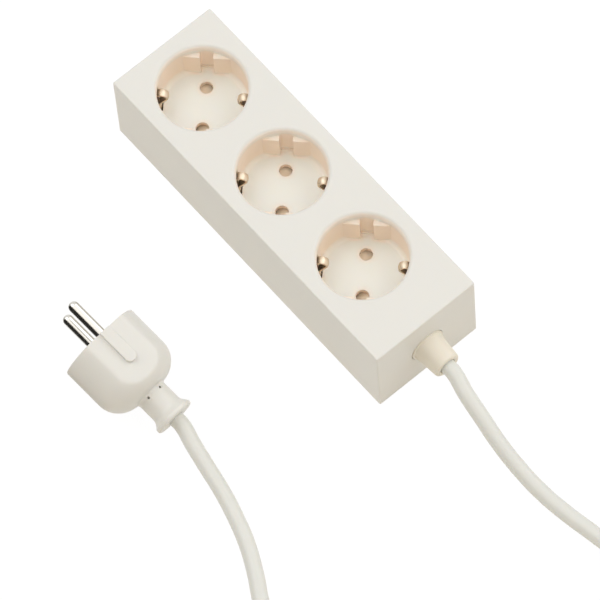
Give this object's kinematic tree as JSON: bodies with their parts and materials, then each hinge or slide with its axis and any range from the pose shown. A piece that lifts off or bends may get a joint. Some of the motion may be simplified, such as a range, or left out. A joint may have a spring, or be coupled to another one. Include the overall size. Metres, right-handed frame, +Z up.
{
  "type": "power strip",
  "caption": "Box-shaped power strip with a row of round earthed sockets, a tapered cord collar and a white cord that ends in a round moulded plug.",
  "frame": {"origin": "middle of the strip's underside, on the table", "axes": "+X along the strip towards the cord, +Y across it away from the plug, +Z up"},
  "size_m": [0.3528, 0.1694, 0.0439],
  "materials": {
    "case_plastic": "fine satin moulded thermoplastic",
    "insert_plastic": "satin moulded thermoplastic",
    "shutter_plastic": "satin moulded thermoplastic",
    "inner_plastic": "plain moulded thermoplastic",
    "zinc_screw": "zinc-plated steel",
    "spring_steel": "drawn spring wire",
    "clip_brass": "rolled strip, bright",
    "rail_brass": "rolled strip",
    "brown_core": "extruded insulation",
    "blue_core": "extruded insulation",
    "green_core": "extruded insulation",
    "cord_pvc": "extruded soft sheath",
    "soft_pvc": "soft overmoulding",
    "tie_nylon": "woven strap",
    "nickel_pin": "nickel-plated brass"
  },
  "bodies": {
    "strip": {"top_case": "case_plastic", "base_plate": "inner_plastic", "base_screws": "zinc_screw", "socket_insert_1": "insert_plastic", "socket_insert_2": "insert_plastic", "socket_insert_3": "insert_plastic", "shutter_spring_1": "spring_steel", "shutter_spring_2": "spring_steel", "shutter_spring_3": "spring_steel", "earth_clip_1": "clip_brass", "earth_clip_2": "clip_brass", "earth_clip_3": "clip_brass", "earth_bar": "rail_brass", "line_bar": "rail_brass", "neutral_bar": "rail_brass", "pivot_screws": "zinc_screw", "wire_crimps": "rail_brass", "line_wire": "brown_core", "neutral_wire": "blue_core", "earth_wire": "green_core", "cord_clamp": "inner_plastic", "clamp_screws": "zinc_screw", "cord_gland": "soft_pvc", "cord_sheath_end": "cord_pvc", "cord_strip_side": "cord_pvc", "cord_coil": "cord_pvc", "cord_ties": "tie_nylon", "cord_plug_side": "cord_pvc", "plug_body": "soft_pvc", "plug_core": "inner_plastic", "plug_pin_line": "nickel_pin", "plug_pin_neutral": "nickel_pin", "plug_earth_strap": "rail_brass", "plug_sleeve": "soft_pvc", "plug_sheath_end": "cord_pvc", "plug_line_wire": "brown_core", "plug_neutral_wire": "blue_core", "plug_earth_wire": "green_core"},
    "shutter_1": {"shutter_1": "shutter_plastic"},
    "shutter_2": {"shutter_2": "shutter_plastic"},
    "shutter_3": {"shutter_3": "shutter_plastic"}
  },
  "joints": [
    {"name": "shutter_1_turn", "type": "hinge", "parent": "strip", "child": "shutter_1", "pos_m": [-0.0577, 0, 0.0211], "axis": [0, 0, 1], "range_deg": [0, 40], "stiffness_Nm_per_rad": 0.001, "springref_deg": -11.46},
    {"name": "shutter_2_turn", "type": "hinge", "parent": "strip", "child": "shutter_2", "pos_m": [-0.0065, 0, 0.0211], "axis": [0, 0, 1], "range_deg": [0, 40], "stiffness_Nm_per_rad": 0.001, "springref_deg": -11.46},
    {"name": "shutter_3_turn", "type": "hinge", "parent": "strip", "child": "shutter_3", "pos_m": [0.0447, 0, 0.0211], "axis": [0, 0, 1], "range_deg": [0, 40], "stiffness_Nm_per_rad": 0.001, "springref_deg": -11.46}
  ]
}
